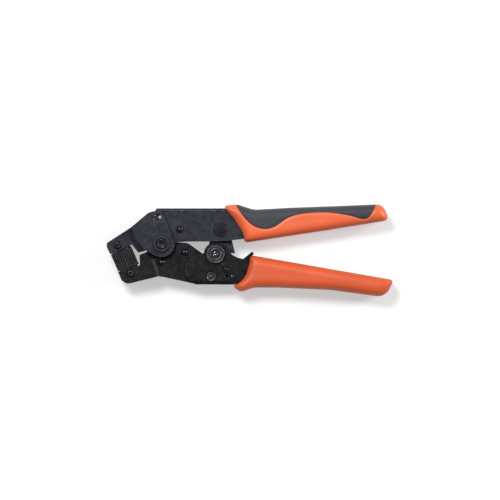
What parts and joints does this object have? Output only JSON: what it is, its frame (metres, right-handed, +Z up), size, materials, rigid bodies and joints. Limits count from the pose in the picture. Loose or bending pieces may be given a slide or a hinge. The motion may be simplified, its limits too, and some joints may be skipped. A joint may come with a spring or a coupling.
{
  "type": "rj45 crimping tool",
  "caption": "Ratcheting crimping pliers for modular plugs: bent jaws with a ribbed die block, toggle link, adjuster dial and moulded grips; jaws and handles closed.",
  "frame": {"origin": "main pivot axis, on the plane that the tool lies on", "axes": "+X from the main pivot along the handles, +Y from the moving handle to the fixed handle, +Z up, through the tool's thickness"},
  "size_m": [0.1999, 0.0644, 0.0204],
  "materials": {
    "blued_steel": "blue-black oxide, satin",
    "black_steel": "black oxide, satin",
    "bright_steel": "bare machined steel",
    "orange_plastic": "satin moulded plastic",
    "soft_inlay": "soft matt inlay"
  },
  "bodies": {
    "upper_frame": {"upper_jaw_plate_front": "blued_steel", "upper_jaw_plate_rear": "blued_steel", "upper_handle_channel": "blued_steel", "upper_die": "black_steel", "contact_comb": "bright_steel", "strain_relief_bar": "bright_steel", "upper_die_screw": "blued_steel", "upper_die_nut": "blued_steel", "main_pivot_pin": "blued_steel", "pivot_washer_front": "blued_steel", "pivot_washer_rear": "blued_steel", "locating_pin": "blued_steel", "channel_rivet": "blued_steel", "channel_spacer": "blued_steel", "link_pivot_pin": "blued_steel", "upper_grip": "orange_plastic", "upper_grip_inlay": "soft_inlay", "opening_spring": "bright_steel"},
    "lower_jaw": {"lower_jaw_plate_front": "black_steel", "lower_jaw_plate_rear": "black_steel", "plug_nest": "black_steel", "lower_die_screw": "blued_steel", "lower_die_nut": "blued_steel", "jaw_rivet_1": "blued_steel", "jaw_rivet_2": "blued_steel", "jaw_spacer_1": "blued_steel", "jaw_spacer_2": "blued_steel", "tail_pin": "blued_steel"},
    "lower_handle": {"lower_handle_channel": "black_steel", "lower_grip": "orange_plastic", "pawl_pin": "blued_steel", "spring_anchor_pin": "bright_steel", "pawl_bush_front": "blued_steel", "pawl_bush_rear": "blued_steel", "pawl_spring": "bright_steel"},
    "adjuster": {"adjuster_dial": "bright_steel", "dial_lock_screw": "bright_steel", "dial_clip": "blued_steel"},
    "pawl": {"ratchet_pawl": "blued_steel", "release_lever": "black_steel"},
    "link": {"toggle_link": "blued_steel", "link_bush_front": "blued_steel", "link_bush_rear": "blued_steel"}
  },
  "joints": [
    {"name": "handle_pivot", "type": "hinge", "parent": "lower_jaw", "child": "lower_handle", "pos_m": [0.0348, -0.0229, 0.0102], "axis": [0, 0, 1], "range_deg": [-34.4, 0]},
    {"name": "jaw_pivot", "type": "hinge", "parent": "upper_frame", "child": "lower_jaw", "pos_m": [0, 0, 0.0102], "axis": [0, 0, 1], "range_deg": [0, 6.44]},
    {"name": "link_pivot", "type": "hinge", "parent": "upper_frame", "child": "link", "pos_m": [0.0413, 0.0098, 0.0102], "axis": [0, 0, 1], "range_deg": [0, 31.8], "deforming": ["opening_spring"]},
    {"name": "pawl_pivot", "type": "hinge", "parent": "lower_handle", "child": "pawl", "pos_m": [0.0451, -0.0182, 0.0102], "axis": [0, 0, 1], "range_deg": [0, 10], "deforming": ["pawl_spring"]},
    {"name": "dial_turn", "type": "hinge", "parent": "lower_handle", "child": "adjuster", "pos_m": [0.0379, -0.0071, 0.0102], "axis": [0, 0, 1], "range_deg": [-45, 45]}
  ],
  "couplings": [
    {"joint": "jaw_pivot", "follows": "handle_pivot", "ratio": -0.18689},
    {"joint": "link_pivot", "follows": "handle_pivot", "ratio": -0.92206}
  ]
}
